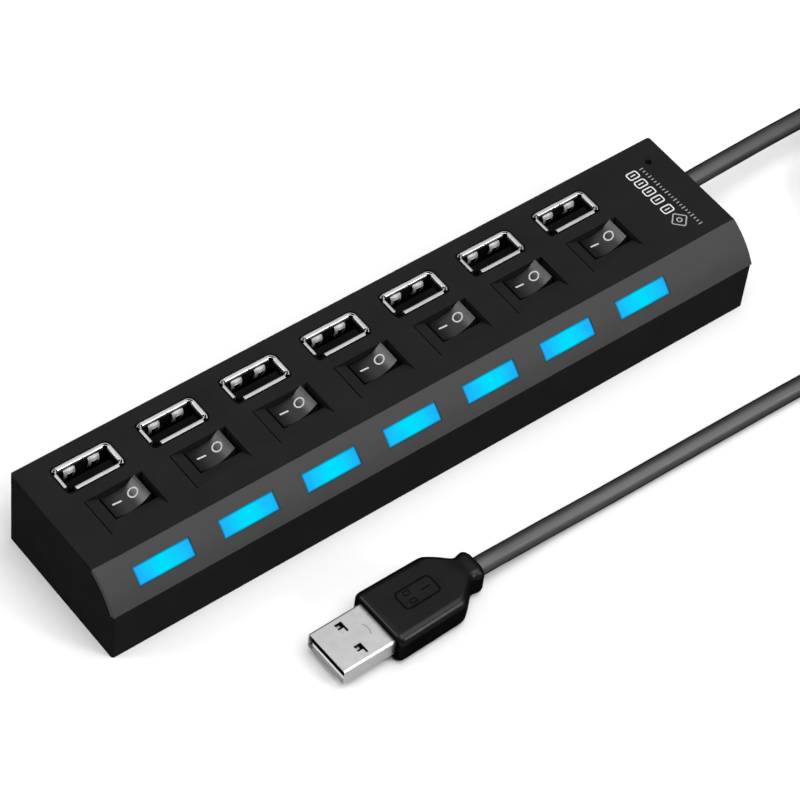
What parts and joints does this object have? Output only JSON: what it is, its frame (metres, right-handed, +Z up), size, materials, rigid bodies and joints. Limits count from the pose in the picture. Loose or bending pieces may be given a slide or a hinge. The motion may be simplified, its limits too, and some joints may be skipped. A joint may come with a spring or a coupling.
{
  "type": "usb hub",
  "caption": "Long black desktop hub: a row of upright sockets, each with a rocker switch and a lit window in a sloping front strip, and a corded plug.",
  "frame": {"origin": "middle of the housing's base, on the surface it stands on", "axes": "+X along the housing to the end that the lead leaves by, -Y is the front with the sloping strip, +Z up"},
  "size_m": [0.2548, 0.0714, 0.0221],
  "materials": {
    "housing_black": "satin black ABS with a fine, even grain",
    "bezel_grey": "satin dark grey moulded strip",
    "rocker_black": "semi-gloss black with white printed marks",
    "window_blue": "translucent diffuser lit cyan blue from inside",
    "steel": "bright satin nickel-plated sheet steel",
    "screw_steel": "black-zinc cross-head screw",
    "inner_black": "matt black moulded plastic",
    "pale_plastic": "off-white moulded plastic, and the same white for the small printed marks",
    "board_green": "green solder-masked glass-fibre board",
    "chip_black": "moulded epoxy",
    "cord_black": "satin dark grey PVC jacket",
    "tie_black": "soft black strap",
    "grip_black": "satin black moulded PVC"
  },
  "bodies": {
    "housing": {"top_shell": "housing_black", "bottom_cover": "housing_black", "front_bezel": "bezel_grey", "main_board": "board_green", "hub_controller": "chip_black", "crystal": "steel", "power_light_pipe": "inner_black", "screw_1": "screw_steel", "screw_2": "screw_steel", "screw_3": "screw_steel", "screw_4": "screw_steel", "socket_shell_1": "steel", "socket_insulator_1": "inner_black", "switch_case_1": "inner_black", "light_guide_1": "window_blue", "socket_shell_2": "steel", "socket_insulator_2": "inner_black", "switch_case_2": "inner_black", "light_guide_2": "window_blue", "socket_shell_3": "steel", "socket_insulator_3": "inner_black", "switch_case_3": "inner_black", "light_guide_3": "window_blue", "socket_shell_4": "steel", "socket_insulator_4": "inner_black", "switch_case_4": "inner_black", "light_guide_4": "window_blue", "socket_shell_5": "steel", "socket_insulator_5": "inner_black", "switch_case_5": "inner_black", "light_guide_5": "window_blue", "socket_shell_6": "steel", "socket_insulator_6": "inner_black", "switch_case_6": "inner_black", "light_guide_6": "window_blue", "socket_shell_7": "steel", "socket_insulator_7": "inner_black", "switch_case_7": "inner_black", "light_guide_7": "window_blue", "cord_grommet": "inner_black", "cord_lead": "cord_black", "cord_coil": "cord_black", "cord_tail": "cord_black", "coil_tie": "tie_black", "plug_shell": "steel", "plug_insulator": "pale_plastic", "plug_overmould": "grip_black"},
    "rocker_body_1": {"rocker_1": "rocker_black"},
    "rocker_body_2": {"rocker_2": "rocker_black"},
    "rocker_body_3": {"rocker_3": "rocker_black"},
    "rocker_body_4": {"rocker_4": "rocker_black"},
    "rocker_body_5": {"rocker_5": "rocker_black"},
    "rocker_body_6": {"rocker_6": "rocker_black"},
    "rocker_body_7": {"rocker_7": "rocker_black"}
  },
  "joints": [
    {"name": "rocker_1_swing", "type": "hinge", "parent": "housing", "child": "rocker_body_1", "pos_m": [-0.06805, 0.001, 0.0176], "axis": [0, 1, 0], "range_deg": [0, 24]},
    {"name": "rocker_2_swing", "type": "hinge", "parent": "housing", "child": "rocker_body_2", "pos_m": [-0.04705, 0.001, 0.0176], "axis": [0, 1, 0], "range_deg": [0, 24]},
    {"name": "rocker_3_swing", "type": "hinge", "parent": "housing", "child": "rocker_body_3", "pos_m": [-0.02605, 0.001, 0.0176], "axis": [0, 1, 0], "range_deg": [0, 24]},
    {"name": "rocker_4_swing", "type": "hinge", "parent": "housing", "child": "rocker_body_4", "pos_m": [-0.00505, 0.001, 0.0176], "axis": [0, 1, 0], "range_deg": [0, 24]},
    {"name": "rocker_5_swing", "type": "hinge", "parent": "housing", "child": "rocker_body_5", "pos_m": [0.01595, 0.001, 0.0176], "axis": [0, 1, 0], "range_deg": [0, 24]},
    {"name": "rocker_6_swing", "type": "hinge", "parent": "housing", "child": "rocker_body_6", "pos_m": [0.03695, 0.001, 0.0176], "axis": [0, 1, 0], "range_deg": [0, 24]},
    {"name": "rocker_7_swing", "type": "hinge", "parent": "housing", "child": "rocker_body_7", "pos_m": [0.05795, 0.001, 0.0176], "axis": [0, 1, 0], "range_deg": [0, 24]}
  ]
}
